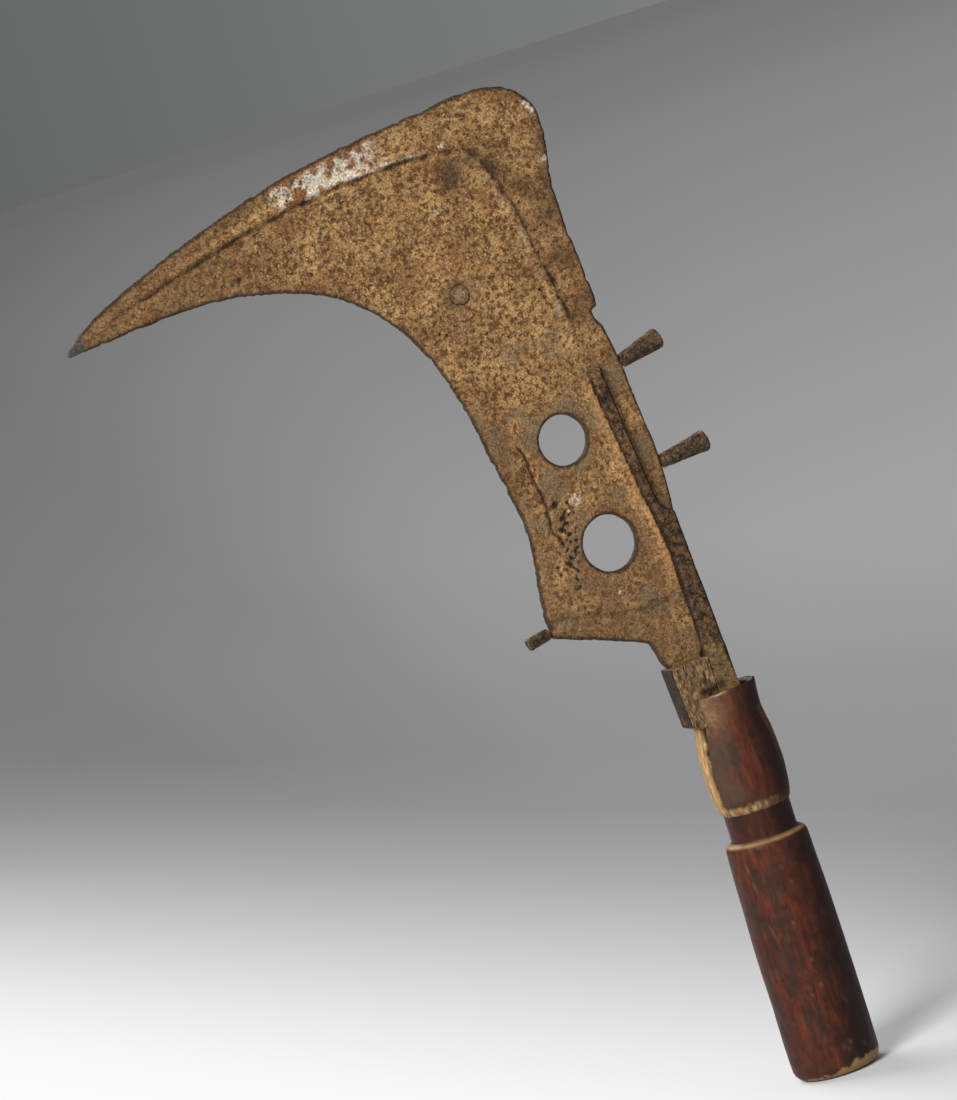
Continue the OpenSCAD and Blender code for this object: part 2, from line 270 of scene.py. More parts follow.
# a faint painted shadow lies over the board on the side of the blade's tip
sideways = addNode(tree, "Math", {"operation": "DIVIDE"}, {0: split.outputs[1], 1: lean.outputs[0]})
toSide = addNode(tree, "MapRange", None, {0: sideways.outputs[0], 1: 1.5, 2: 7.5})
shaded = addNode(tree, "ValToRGB", None, {0: toSide.outputs[0]}, [
    (0.0, 1.0), (0.06, 1.0), (0.1, 0.96), (0.18, 0.93), (0.23, 0.87), (0.3, 0.82), (0.4, 0.75), (0.5, 0.76),
    (0.62, 0.8), (0.78, 0.9), (0.95, 1.0)])
nearHere = addNode(tree, "MapRange", None, {0: lean.outputs[0], 1: 0.25, 2: 0.4})
shaded = addNode(tree, "Mix", {"data_type": "RGBA"}, {
    0: nearHere.outputs[0], 6: (1, 1, 1, 1), 7: shaded.outputs[0]})
offSide = addNode(tree, "MapRange", None, {0: sideways.outputs[0], 1: 2.4, 2: 3.0})
further = addNode(tree, "MapRange", None, {0: lean.outputs[0], 1: 0.5, 2: 0.85, 3: 0.0, 4: 0.17})
duller = addNode(tree, "Math", {"operation": "MULTIPLY"}, {0: offSide.outputs[0], 1: further.outputs[0]})
shaded = addNode(tree, "Mix", {"data_type": "RGBA"}, {
    0: duller.outputs[0], 6: shaded.outputs[2], 7: (0, 0, 0, 1)})
board = addNode(tree, "Mix", {"data_type": "RGBA", "blend_type": "MULTIPLY"},
                {0: 1.0, 6: falloff.outputs[0], 7: distant.outputs[0]})
board = addNode(tree, "Mix", {"data_type": "RGBA", "blend_type": "MULTIPLY"},
                {0: 1.0, 6: board.outputs[2], 7: shaded.outputs[2]})
paint = addNode(tree, "BsdfDiffuse", None, {"Color": board.outputs[2]})
addNode(tree, "OutputMaterial", None, {"Surface": paint.outputs[0]})
floor.data.materials.append(boardMaterial)
print("stage set")


# forged iron

mixTone = {"data_type": "RGBA"}  # a Mix node's inputs 6 and 7 are then its tones, 0 the share of the second


def rustedIron(name, tones, sizes, masks, bumpDepth):
    # hand-forged iron under an old dry crust of brown rust: granular, without shine.
    # tones: the crust and its marks; sizes: their width in mm, stretched upright where drawnOut is under 1;
    # masks: rows of (attribute, tone, strength, raggedness) laid over the crust in order
    material, tree = newMaterial(name)
    where = addNode(tree, "TexCoord").outputs["Object"]
    place = addNode(tree, "Mapping", {"vector_type": "POINT"}, {
        "Vector": where, "Scale": (1, 1, sizes["drawnOut"])}).outputs[0]
    patterns = {}
    for size, detail, roughness, distortion in (("cloud", 4.0, 0.6, 0.0), ("drift", 3.0, 0.55, 0.6),
                                                ("mottle", 3.0, 0.56, 0.3), ("grit", 2.0, 0.6, 0.0),
                                                ("pit", 1.0, 0.5, 0.4), ("grain", 2.0, 0.6, 0.0)):
        patterns[size] = addNode(tree, "TexNoise", None, {
            "Vector": place, "Scale": 1 / (sizes[size] * mm), "Detail": detail, "Roughness": roughness,
            "Distortion": distortion}).outputs[0]
    drift, mottle, grit = patterns["drift"], patterns["mottle"], patterns["grit"]
    cloudShare = addNode(tree, "ValToRGB", None, {0: patterns["cloud"]}, [(0.4, 0.0), (0.6, 1.0)])
    driftShare = addNode(tree, "ValToRGB", None, {0: drift}, [(0.52, 0.0), (0.72, 0.8)])
    spotShare = addNode(tree, "ValToRGB", None, {0: mottle}, [(0.46, 0.0), (0.53, 0.5), (0.62, 0.95)])
    lightShare = addNode(tree, "ValToRGB", None, {0: grit}, [(0.56, 0.0), (0.72, 0.8)])
    darkShare = addNode(tree, "ValToRGB", None, {0: grit}, [(0.3, 0.7), (0.42, 0.0)])
    base = addNode(tree, "Mix", mixTone, {
        0: cloudShare.outputs[0], 6: hexTone(tones["crust"]), 7: hexTone(tones["crustDark"])})
    for share, tone in ((driftShare, "under"), (spotShare, "spot"), (lightShare, "grit"),
                        (darkShare, "spot")):
        base = addNode(tree, "Mix", mixTone, {
            0: share.outputs[0], 6: base.outputs[2], 7: hexTone(tones[tone])})
    # pits gather where the drift is high
    pitRound = addNode(tree, "ValToRGB", None, {0: patterns["pit"]}, [(0.62, 0.0), (0.7, 1.0)])
    pitPick = addNode(tree, "ValToRGB", None, {0: drift}, [(0.44, 0.15), (0.6, 1.0)])
    pitShare = addNode(tree, "Math", {"operation": "MULTIPLY"}, {
        0: pitRound.outputs[0], 1: pitPick.outputs[0]})
    base = addNode(tree, "Mix", mixTone, {
        0: pitShare.outputs[0], 6: base.outputs[2], 7: hexTone(tones["pit"])})
    for attribute, tone, strength, ragged in masks:
        # each mask, stains and painted light and shade alike, is broken up by the grit, so none has a clean
        # edge
        mask = addNode(tree, "Attribute", {"attribute_name": attribute})
        broken = addNode(tree, "Math", {"operation": "MULTIPLY_ADD"}, {
            0: grit, 1: ragged, 2: -ragged / 2})
        pushed = addNode(tree, "Math", {"operation": "MULTIPLY_ADD"}, {
            0: mask.outputs["Fac"], 1: 1.5, 2: -0.25})
        total = addNode(tree, "Math", {"operation": "ADD", "use_clamp": True}, {
            0: broken.outputs[0], 1: pushed.outputs[0]})
        kept = addNode(tree, "Math", {"operation": "MULTIPLY", "use_clamp": True}, {
            0: total.outputs[0], 1: mask.outputs["Fac"]})
        share = addNode(tree, "Math", {"operation": "MULTIPLY"}, {0: kept.outputs[0], 1: strength})
        base = addNode(tree, "Mix", mixTone, {0: share.outputs[0], 6: base.outputs[2], 7: hexTone(tone)})
    gain = addNode(tree, "MapRange", None, {0: patterns["grain"], 1: 0.3, 2: 0.7, 3: 0.45, 4: 1.5})
    base = addNode(tree, "Mix", {"data_type": "RGBA", "blend_type": "MULTIPLY"}, {
        0: 1.0, 6: base.outputs[2], 7: gain.outputs[0]})
    rough = addNode(tree, "MapRange", None, {0: mottle, 1: 0.3, 2: 0.7, 3: 0.62, 4: 0.88})
    relief = addNode(tree, "Math", {"operation": "MULTIPLY_ADD"}, {0: grit, 1: 0.5, 2: mottle})
    relief = addNode(tree, "Math", {"operation": "MULTIPLY_ADD"}, {
        0: pitShare.outputs[0], 1: -0.8, 2: relief.outputs[0]})
    bump = addNode(tree, "Bump", None, {
        "Strength": 0.8, "Distance": bumpDepth * mm, "Height": relief.outputs[0]})
    iron = addNode(tree, "BsdfPrincipled", None, {
        "Base Color": base.outputs[2], "Roughness": rough.outputs[0], "Specular IOR Level": 0.18,
        "Normal": bump.outputs[0]})
    addNode(tree, "OutputMaterial", None, {"Surface": iron.outputs[0]})
    return material


# blade

bladeLook = {
    "voxel": 0.64,
    "relief": 0.07,  # crust relief, mm
    "hammer": 0.12,  # slow hammered waves, mm
    "edgeWander": 0.42,
    "holes": [(-29.8, 229, 9.4), (-24.5, 187.5, 10.5)],  # x, z, radius
    "plug": (-51.3, 291.6, 3.65),
    "foot": 139,  # the plate's neck starts at this height
    "pittedRun": [(-36.5, 206), (-39, 193), (-41.5, 178)],  # small deep pits run beside the cut line
    # the studs' tenon holes, which are no rim: x, z, lean in degrees
    "sockets": [(1.9, 249.4, 13), (5.1, 209.4, 6), (-57.8, 163.4, 189)],
    "socketWide": 1.4,
    "socketDeep": 7,
    # nicks in the rim: x, z, radius, depth
    "nicks": [(-43, 358.5, 3.2, 0.9), (-63, 356.4, 1.3, 0.9), (-74, 355.6, 2.2, 0.5), (-54, 357.6, 1.2, 0.5),
              (-112, 349.6, 1.6, 0.4), (-3, 318, 2.0, 0.5), (-2.6, 300, 2.0, 0.5), (-1.2, 283, 1.8, 0.5),
              (-54, 187, 1.4, 0.5), (-55, 205, 1.8, 0.6), (-57.6, 219, 1.6, 0.5), (-57.4, 172, 1.2, 0.5)],
    # the line beside the raised rib, from the point round and down the back: x, z
    "ribLine": [(-188, 319), (-177, 323.5), (-160, 327.5), (-140, 332.5), (-120, 337), (-100, 341),
                (-80, 342.3), (-60, 343.2), (-42, 342.6), (-33, 340.5), (-28, 335.5), (-24.5, 328),
                (-21, 318), (-18.5, 305), (-16, 291), (-14, 277), (-12.3, 264), (-11, 254)],
    # the line where the bar stands on the plate, bottom to top
    "barLeft": [(-3, 137), (-3.2, 160), (-3.5, 178), (-5, 190), (-6.7, 199), (-9.3, 218), (-12.1, 237),
                (-13.5, 250)],
    "ribTurn": -38,  # x where the rib leaves the hook and runs down the back
    # the cut line and the step across the foot
    "incised": [(-46.7, 231), (-45.7, 225), (-45.3, 217), (-44.3, 209), (-44.2, 197), (-41.7, 193)],
    "footBand": [(-57, 168), (-40, 165.5), (-22, 161), (-8, 160)],
    # pits: x, z, radius, depth
    "pits": [(-40.8, 207.4, 1.1, 0.6), (-39.2, 202, 0.9, 0.5), (-40.8, 197.8, 1.0, 0.5),
             (-47, 185.3, 0.9, 0.4), (-46.7, 182.4, 0.8, 0.4), (-42, 185, 0.9, 0.4),
             (-63.3, 280.3, 0.8, 0.4), (-61, 279, 0.7, 0.4), (-130, 322, 1.0, 0.4), (-133, 321, 0.8, 0.3),
             (-52, 331, 0.8, 0.3), (-95, 300, 0.8, 0.3), (-30, 262, 0.8, 0.3), (-110, 318, 0.8, 0.3),
             (-70, 250, 0.7, 0.3), (-24, 285, 0.8, 0.3)],
    # pale specks: x, z, radius
    "specks": [(-50.3, 323, 1.3), (-26.7, 169.1, 0.9), (-36.3, 203.7, 0.8), (-32.5, 207, 2.6),
               (-41, 345.5, 1.6), (-4, 350, 2.2), (-3.6, 329, 2.0), (-1.5, 347, 1.6)],
    # dark stains: x, z, radius, strength, raggedness
    "stains": [(-41.7, 332.8, 6.6, 1.0, 0.4), (-56, 332, 3, 0.5, 0), (-30.6, 339.4, 3.6, 0.8, 0.5),
               (-26, 334, 2.6, 0.7, 0.5)],
}

blade = forgeCopy("blade", "forgedBlade", bladeLook["voxel"], 2)
points = readPoints(blade)
normals = readNormals(blade)
print("blade remeshed", len(points), "points")

# distance from each point to the nearest rim, outer or hole
onRim = np.abs(normals[:, 1]) < 0.45
for rootX, rootZ, lean in bladeLook["sockets"]:
    lean = math.radians(lean)
    relX, relZ = points[:, 0] - rootX, points[:, 2] - rootZ
    inward = relX * math.cos(lean) + relZ * math.sin(lean)
    aside = np.abs(relZ * math.cos(lean) - relX * math.sin(lean))
    onRim &= ~((inward < -0.4) & (inward > -bladeLook["socketDeep"]) & (aside < bladeLook["socketWide"]))
rimPick = np.nonzero(onRim)[0]
tree = kdtree.KDTree(len(rimPick))
for i in rimPick:
    tree.insert((points[i, 0], 0, points[i, 2]), int(i))
tree.balance()
found = [tree.find((p[0], 0, p[2])) for p in points]
rimGap = np.array([f[2] for f in found])
rimIndex = np.array([f[1] for f in found])
outward = normals[rimIndex][:, [0, 2]]
outward /= np.maximum(np.linalg.norm(outward, axis=1), 1e-6)[:, None]

front = normals[:, 1] < -0.3
rear = normals[:, 1] > 0.3
flat = points.copy()  # both faces carry one pattern, so they move together
flat[:, 1] = 0
holeGap = np.min([gapTo(points, x, z) - radius for x, z, radius in bladeLook["holes"]], axis=0)
plugX, plugZ, plugRadius = bladeLook["plug"]
plugGap = gapTo(points, plugX, plugZ) - plugRadius
studGap = np.min([gapTo(points, x, z) for x, z, _ in bladeLook["sockets"]], axis=0)
quiet = ease(studGap, 4, 9) * ease(points[:, 2], bladeLook["foot"] - 3, bladeLook["foot"] + 1)
quiet *= ease(plugGap, 0.3, 2.0)

# rim wander and small chips, calm at the studs, the plug and the foot
wander = (grain(flat, 6, 1) * 0.6 + grain(flat, 2.2, 2) * 0.5) * bladeLook["edgeWander"]
chips = np.clip(grain(flat, 3.1, 3) - 0.28, 0, 1) * 1.2 * (holeGap > 3)
shift = (wander - chips) * (1 - ease(rimGap, 0.4, 3.0)) * quiet
shift *= np.where(holeGap < 3, 0.45, 1)
for x, z, radius, deep in bladeLook["nicks"]:
    shift -= deep * spot(points, x, z, radius) * quiet
points[:, 0] += outward[:, 0] * shift
points[:, 2] += outward[:, 1] * shift

# faces: hammer waves, crust, the rib's step, the slope beside the bar, the foot band
waves = grain(flat, 17, 4) * bladeLook["hammer"] + grain(flat, 8, 5) * bladeLook["hammer"] * 0.5
crust = (grain(flat, 2.0, 6) + grain(flat, 1.1, 7) * 0.6) * bladeLook["relief"]
strayed = points.copy()
strayed[:, 0] += grain(flat, 9, 16) * 1.3 + grain(flat, 3, 17) * 0.5
strayed[:, 2] += grain(flat, 9, 18) * 1.0 + grain(flat, 3, 19) * 0.4
ribGap, ribSide, ribAlong = lineSides(strayed, bladeLook["ribLine"])
ribFade = ease(ribAlong, 0.0, 0.08) * (1 - ease(ribAlong, 0.95, 1.0))
ribStep = np.exp(-(ribGap / 1.0) ** 2) * 0.5 * ribFade
# the rib lies outside the line on the hook, and inside it down the back
ribOffset = ribSide * ribGap * np.where(points[:, 0] < bladeLook["ribTurn"], 1, -1)
ribCrown = np.exp(-((ribOffset - 2.4) / 1.7) ** 2) * 0.4 * ribFade
barGap, barSide, barAlong = lineSides(points, bladeLook["barLeft"])
slopeHigh = 0.9 * (1 - ease(barGap, 0.3, 6.2)) * (barSide > 0)
slopeHigh *= ease(barAlong, 0.12, 0.3) * (1 - ease(barAlong, 0.93, 1))
cutGap = lineSides(strayed, bladeLook["incised"])[0]
cut = np.exp(-(cutGap / 0.75) ** 2) * 0.5
bandGap, bandSide, _ = lineSides(strayed, bladeLook["footBand"])
belowBand = (bandSide < 0) & (points[:, 2] > 152) & (points[:, 0] < -9)
band = np.where(belowBand, ease(bandGap, 0, 1.0) * 0.45, 0)
pitDeep = np.zeros(len(points))
for x, z, radius, deep in bladeLook["pits"]:
    pitDeep += deep * spot(points, x, z, radius * 1.15)
pitted = lineSides(strayed, bladeLook["pittedRun"])[0]
pitDeep += np.exp(-(pitted / 3.4) ** 2) * ease(grain(flat, 1.4, 23), 0.0, 0.3) * 0.5
calm = ease(rimGap, 0.2, 2.2) * np.where(points[:, 2] < bladeLook["foot"], 0, 1) * ease(plugGap, 0.1, 1.5)
raised = (waves + crust) * calm
marks = ribCrown - ribStep - cut - band - pitDeep + slopeHigh * calm
points[front, 1] -= (raised + marks * ease(rimGap, 0, 1))[front]
points[rear, 1] += ((waves * 0.8 + grain(flat, 2.3, 8) * bladeLook["relief"]) * calm)[rear]
writePoints(blade, points)

# where the colour changes: rust, wear and stains, with painted highlights and shade among them
soil = grain(flat, 9, 9)
fine = grain(flat, 1.6, 10)
atPlug = 1 - ease(plugGap, 1.0, 3.0)
paintMask(blade, "rim", (1 - ease(rimGap + fine * 0.5, 0.5, 2.1)) * (1 - 0.85 * atPlug))
downBack = ease(points[:, 0], -44, -34)
ribWide = 1.1 + 0.7 * downBack
paintMask(blade, "ribShade", np.exp(-((ribGap + fine * 0.5) / ribWide) ** 2) * ribFade * front
          * np.clip(0.62 + 0.1 * downBack + 1.1 * grain(flat, 6, 11), 0.12, 1.1))
# painted highlight along the rib's ridge where it runs down the back
paintMask(blade, "crest", np.exp(-((ribOffset - 2.6) / 1.5) ** 2) * ribFade * downBack * front
          * np.clip(0.6 + 0.9 * grain(flat, 5, 21), 0, 1))
wornSpan = ease(points[:, 0], -118, -104) * (1 - ease(points[:, 0], -72, -58))
aboveRib = np.where(ribSide > 0, ease(ribGap, 0.2, 1.2), 0) * (points[:, 2] > 330)
flakes = 0.85 * ease(grain(flat, 2.8, 12) + 0.5 * grain(flat, 1.3, 13) + 0.2 * grain(flat, 9, 22), -0.5, 0.3)
# painted highlight: a pale line just above the rib on the hook; the flaked patch beside it is pale wear
ridgeGlint = (np.exp(-((ribGap - 1.2) / 0.9) ** 2) * aboveRib * ease(points[:, 0], -90, -72)
          * (1 - ease(points[:, 0], -50, -40))) * (0.6 + 0.5 * grain(flat, 4, 20))
paintMask(blade, "paleWearAndGlint", (wornSpan * aboveRib * flakes * ease(rimGap + fine, 0.8, 3.0) + ridgeGlint) * front)
speckle = np.zeros(len(points))
for x, z, radius in bladeLook["specks"]:
    speckle += spot(points, x, z, radius) * ease(fine, -0.45, 0.1) * 1.2
paintMask(blade, "paleSpeck", speckle * front)
orange = ease(grain(flat, 3.2, 14), 0.05, 0.4) * wornSpan * aboveRib
paintMask(blade, "orangeRust", orange + ease(grain(flat, 11, 15), 0.25, 0.5) * 0.5)
stainAndShade = np.exp(-((plugGap - 0.6) / 1.3) ** 2) * (0.25 + 0.2 * fine)
for x, z, radius, strength, ragged in bladeLook["stains"]:
    stainAndShade += spot(points, x, z, radius) * (strength + ragged * fine)
besideCut = np.exp(-((points[:, 0] + 54) / 7) ** 2) * ease(points[:, 2], 212, 222)
stainAndShade += besideCut * (1 - ease(points[:, 2], 240, 252)) * 0.55
aboveBand = (bandSide > 0) & (points[:, 2] > 150) & (points[:, 2] < 185) & (points[:, 0] < -9)
stainAndShade += np.where(aboveBand, np.exp(-(bandGap / 2.6) ** 2) * (0.5 + 0.3 * soil), 0)
stainAndShade += np.where(belowBand, np.exp(-(bandGap / 1.3) ** 2) * 0.5 + 0.22, 0)
stainAndShade += ease(ribGap * (ribSide < 0), 1, 2) * np.exp(-(ribGap / 7) ** 2) * (ribSide < 0) * ribFade * 0.4
# painted shade on the strip between the rib and the back edge
shadedBackStrip = downBack * (ribSide > 0) * ease(ribGap, 0.3, 2) * ease(points[:, 2], 256, 264)
stainAndShade += shadedBackStrip * (0.42 + 0.3 * ease(soil, -0.3, 0.4)) * (1 - ease(points[:, 2], 333, 350))
stainAndShade += ease(grain(flat, 1.6, 25), 0.08, 0.4) * 0.5 * (1 - ease(points[:, 2], 195, 225))
paintMask(blade, "brownStainAndShade", stainAndShade)
# painted highlight on the slope that rises to the bar on its left
paintMask(blade, "slopeHighlight", slopeHigh * (0.85 + 0.4 * fine) * front)
paintMask(blade, "cutDirt", (cut * 2.0 + pitDeep * 3.2) * front)
paintMask(blade, "bareTip", 1 - ease(points[:, 0] + fine * 1.5, -194.5, -190))
# darker towards the hook, the lower plate and the rims, and lifted on the slope beside the bar as part of its
# painted highlight
paintMask(blade, "broadDarkening", 0.2 + 0.4 * ease(-points[:, 0], 95, 150) + 0.35 * ease(-points[:, 2], -262, -200)
          + 0.3 * ease(-points[:, 2], -200, -160) + 0.5 * (1 - ease(rimGap + soil * 3, 1.5, 8)) + soil * 0.7
          - slopeHigh * 0.4)
paintMask(blade, "greyCast", ease(soil + 0.3 * grain(flat, 3, 24), -0.05, 0.45)
          * ease(-points[:, 2], -305, -250))

bladeIron = rustedIron(
    "rustedForgedIron",
    {"crust": "#B18B5A", "crustDark": "#8C6841", "spot": "#5A3B21", "grit": "#C6A373", "pit": "#261A11",
     "under": "#7F5735"},
    {"cloud": 16, "drift": 7, "mottle": 1.9, "grit": 1.0, "pit": 1.5, "grain": 0.75, "drawnOut": 1.0},
    [("broadDarkening", "#664D33", 0.6, 1.3), ("greyCast", "#77664E", 0.5, 1.3), ("slopeHighlight", "#BE8F5A", 0.8, 1.6),
     ("orangeRust", "#83482A", 0.65, 2.5), ("brownStainAndShade", "#463323", 0.8, 1.6),
     ("paleWearAndGlint", "#DAD0BE", 0.9, 4.0), ("crest", "#8B7C64", 0.6, 2.5), ("paleSpeck", "#CDBDA6", 0.9, 2.5),
     ("ribShade", "#33261A", 0.85, 2.0), ("cutDirt", "#211810", 0.95, 1.2),
     ("rim", "#33271C", 0.88, 1.6), ("bareTip", "#4B4743", 0.95, 0.8)],
    0.22)
finishPiece(blade, "blade", bladeIron)
print("blade forged")


# tang bar

barLook = {
    "voxel": 0.42,
    "relief": 0.1,
    "hammer": 0.14,
    "blockTop": 139,  # above this height the bar lies on the plate, below it stands the block
    "blockFoot": 112,
    "blockBack": 7,  # how far the block reaches behind the handle's axis, in x
    "blockFront": -6,  # the block's front face, in y
}
bar = forgeCopy("tang_bar", "tangBar", barLook["voxel"], 2)
points = readPoints(bar)
normals = readNormals(bar)
outside = ease(points[:, 2], 111.6, 113)
dent = grain(points, 5, 21) * barLook["hammer"] + grain(points, 1.5, 22) * barLook["relief"]
onPlate = (normals[:, 1] > 0.5) & (points[:, 2] > barLook["blockTop"])
push = dent * outside * np.where(onPlate, 0, 1)
free = np.where(points[:, 2] > barLook["blockTop"], ease(-points[:, 1], 1.8, 2.6), 0.35)
points -= normals * (np.abs(push) * free)[:, None]
# the block's back runs on from the bar's back in one line
climbed = (points[:, 2] - barLook["blockFoot"]) / (barLook["blockTop"] - barLook["blockFoot"])
backLine = np.minimum(barLook["blockBack"] - 0.9 * climbed, barLook["blockBack"])
onBlock = points[:, 2] < barLook["blockTop"] + 0.5
merging = ease(points[:, 2], barLook["blockFoot"] + 4, barLook["blockTop"] - 2)
backLine -= merging * (0.42 * np.maximum(0, points[:, 1] + 1.5) + np.maximum(0, -4.1 - points[:, 1]))
frontLine = barLook["blockFront"] + 0.85 * merging
points[:, 0] = np.where(onBlock, np.minimum(points[:, 0], backLine), points[:, 0])
points[:, 1] = np.where(onBlock, np.maximum(points[:, 1], frontLine), points[:, 1])
writePoints(bar, points)
paintMask(bar, "ochreDust", (1 - ease(points[:, 2] + grain(points, 4, 23) * 10, 132, 152))
          * (0.75 + 0.3 * grain(points, 1.4, 24)) * (normals[:, 1] < 0))
lowDark = (1 - ease(points[:, 2], 190, 215)) * ease(points[:, 2], 138, 152)
# painted shade on the sides facing right, away from the light; the lower bar and the left-facing sides are
# darker iron
paintMask(bar, "darkIronAndRightShade", 0.45 * lowDark + ease(normals[:, 0], 0.25, 0.7)
          + ease(-normals[:, 0], 0.5, 0.9) * 0.6)
paintMask(bar, "blackPit", spot(points, 1, 131.5, 1.1) + spot(points, -1, 124.5, 2.6) * 0.9
          + spot(points, -11.5, 238, 4) * 0.8)
barIron = rustedIron(
    "blackenedForgedIron",
    {"crust": "#70553A", "crustDark": "#4A3524", "spot": "#261B12", "grit": "#8A6A44", "pit": "#17110C",
     "under": "#6E4C34"},
    {"cloud": 9, "drift": 6, "mottle": 2.2, "grit": 0.9, "pit": 1.4, "grain": 0.7, "drawnOut": 1.0},
    [("ochreDust", "#866A45", 0.85, 1.6), ("darkIronAndRightShade", "#1F1913", 0.75, 1.3),
     ("blackPit", "#1D1712", 0.9, 1.6)],
    0.2)
finishPiece(bar, "tang_bar", barIron)
print("tang bar forged")


# tang collar

collarLook = {
    "voxel": 0.36,
    "fibre": 0.22,  # depth of the upright fibres
    "ticks": 0.5,  # depth of the small notches along the top
    "top": 136,
    "corner": (-18, -6),  # x and y of the outer front edge, which is chipped
}
collar = forgeCopy("tang_collar", "tangCollar", collarLook["voxel"], 1)
points = readPoints(collar)
normals = readNormals(collar)
fibres = grain(points, 1.0, 31, (1, 1, 9)) * 0.7 + grain(points, 2.4, 32, (1, 1, 5)) * 0.6
shown = np.where(normals[:, 1] < -0.2, 1, 0.5) * ease(points[:, 2], 111.2, 113)
shown *= np.where(points[:, 0] > -3.2, 0, 1)
inSlot = (np.abs(points[:, 1]) < 2.2) & (points[:, 0] > -17.8) & (points[:, 2] > 111.5)
shown = np.where(inSlot, 0, shown)
cornerGap = np.hypot(points[:, 0] - collarLook["corner"][0], points[:, 1] - collarLook["corner"][1])
chip = np.clip(grain(points, 3, 33) - 0.05, 0, 1) * (1 - ease(cornerGap, 0.5, 2.4)) * 1.3
topGap = collarLook["top"] - points[:, 2]
ticks = np.clip(np.sin(points[:, 0] * 6.5 + grain(points, 3, 34) * 3), 0, 1)
ticks *= np.exp(-((topGap - 1.2) / 1.3) ** 2) * (normals[:, 1] < -0.2) * collarLook["ticks"]
points -= normals * ((np.abs(fibres) * collarLook["fibre"] + chip + ticks) * shown)[:, None]
writePoints(collar, points)
paintMask(collar, "darkFlank", ease(-normals[:, 0], 0.3, 0.8) + ticks * 1.8 * (normals[:, 1] < 0))
paintMask(collar, "fibreShade", ease(np.abs(fibres), 0.12, 0.5) * 0.8)
# painted shadow of a hollow across the collar's right part
paintMask(collar, "hollowShade", np.exp(-((points[:, 2] - 124) / 2.2) ** 2) * ease(points[:, 0], -13, -9) * 0.9)
collarIron = rustedIron(
    "rustPackedIron",
    {"crust": "#997C57", "crustDark": "#7A5F42", "spot": "#4B3823", "grit": "#B09468", "pit": "#241B13",
     "under": "#5C432D"},
    {"cloud": 8, "drift": 5, "mottle": 1.5, "grit": 0.8, "pit": 1.4, "grain": 0.65, "drawnOut": 0.38},
    [("fibreShade", "#4A3826", 0.65, 1.3), ("darkFlank", "#231A11", 0.93, 1.3),
     ("hollowShade", "#1E1914", 0.95, 1.5)],
    0.25)
finishPiece(collar, "tang_collar", collarIron)
print("collar forged")


# studs and plug

studIron = rustedIron(
    "darkWroughtIron",
    {"crust": "#58432F", "crustDark": "#413122", "spot": "#2B221B", "grit": "#8A735A", "pit": "#1B1612",
     "under": "#6A4A34"},
    {"cloud": 6, "drift": 4, "mottle": 1.6, "grit": 0.8, "pit": 1.4, "grain": 0.65, "drawnOut": 1.0},
    [("wornEndAndTopLight", "#8A6C48", 0.8, 1.6)],
    0.16)

studVoxel = 0.3
studLook = {
    # node: (piece, root x and z, lean in degrees, length in mm)
    "upper_back_stud": ("upperBackStud", (1.9, 249.4), 13, 17.6),
    "lower_back_stud": ("lowerBackStud", (5.1, 209.4), 6, 20),
    "toe_stud": ("toeStud", (-57.8, 163.4), 189, 9.6),
}
for order, (nodeName, (pieceName, root, lean, length)) in enumerate(studLook.items()):
    stud = forgeCopy(nodeName, pieceName, studVoxel, 2)
    points = readPoints(stud)
    normals = readNormals(stud)
    away = np.array([math.cos(math.radians(lean)), 0, math.sin(math.radians(lean))])
    along = (points - np.array([root[0], 0, root[1]])) @ away
    clear = ease(along, 0.3, 1.5)
    dent = grain(points, 3.2, 41 + order) * 0.32 + grain(points, 1.2, 51 + order) * 0.12
    points -= normals * ((np.abs(dent) + 0.25 * ease(along, length - 1.2, length)) * clear)[:, None]
    writePoints(stud, points)
    worn = ease(along, length - 3.5, length - 0.5) * ease(grain(points, 2, 61 + order), -0.3, 0.4)
    # painted light on the studs' upper sides, added to the worn ends
    topLight = ease(normals[:, 2], 0.3, 0.9) * ease(grain(points, 2.6, 71 + order), 0.0, 0.5) * 0.7
    paintMask(stud, "wornEndAndTopLight", (worn * 0.9 + topLight) * clear)
    finishPiece(stud, nodeName, studIron)

plugLook = {"voxel": 0.22, "dents": 0.14, "dish": 0.04}
plug = forgeCopy("plug", "bladePlug", plugLook["voxel"], 1)
points = readPoints(plug)
normals = readNormals(plug)
middle = gapTo(points, plugX, plugZ)
face = np.abs(normals[:, 1]) > 0.6
dent = np.abs(grain(points, 1.4, 81)) * plugLook["dents"] + plugLook["dish"] * ease(middle, 2.2, 3.5)
points -= normals * (dent * face)[:, None]
writePoints(plug, points)
paintMask(plug, "plugTop", 1 - ease(middle + grain(points, 1.3, 82) * 1.2, 1.0, 2.4))
paintMask(plug, "plugRing", ease(middle, 2.5, 3.3))
plugIron = rustedIron(
    "rivetedIron",
    {"crust": "#8C7253", "crustDark": "#74593D", "spot": "#553E28", "grit": "#A89072", "pit": "#2A2016",
     "under": "#6F5036"},
    {"cloud": 5, "drift": 4, "mottle": 1.8, "grit": 0.8, "pit": 1.4, "grain": 0.65, "drawnOut": 1.0},
    [("plugTop", "#968064", 0.6, 2.0), ("plugRing", "#5C4733", 0.5, 1.6)], 0.16)
finishPiece(plug, "plug", plugIron)
print("studs and plug forged")


# bedding

beddingLook = {"voxel": 0.5, "lumps": 1.4, "crumbs": 0.4}
bedding = forgeCopy("bedding", "pitchBed", beddingLook["voxel"], 1)
points = readPoints(bedding)
normals = readNormals(bedding)
top = ease(normals[:, 2], 0.4, 0.9)
sunk = np.abs(grain(points, 3, 91)) * beddingLook["lumps"]
sunk += np.abs(grain(points, 1.1, 92)) * beddingLook["crumbs"]
points[:, 2] -= top * sunk
writePoints(bedding, points)
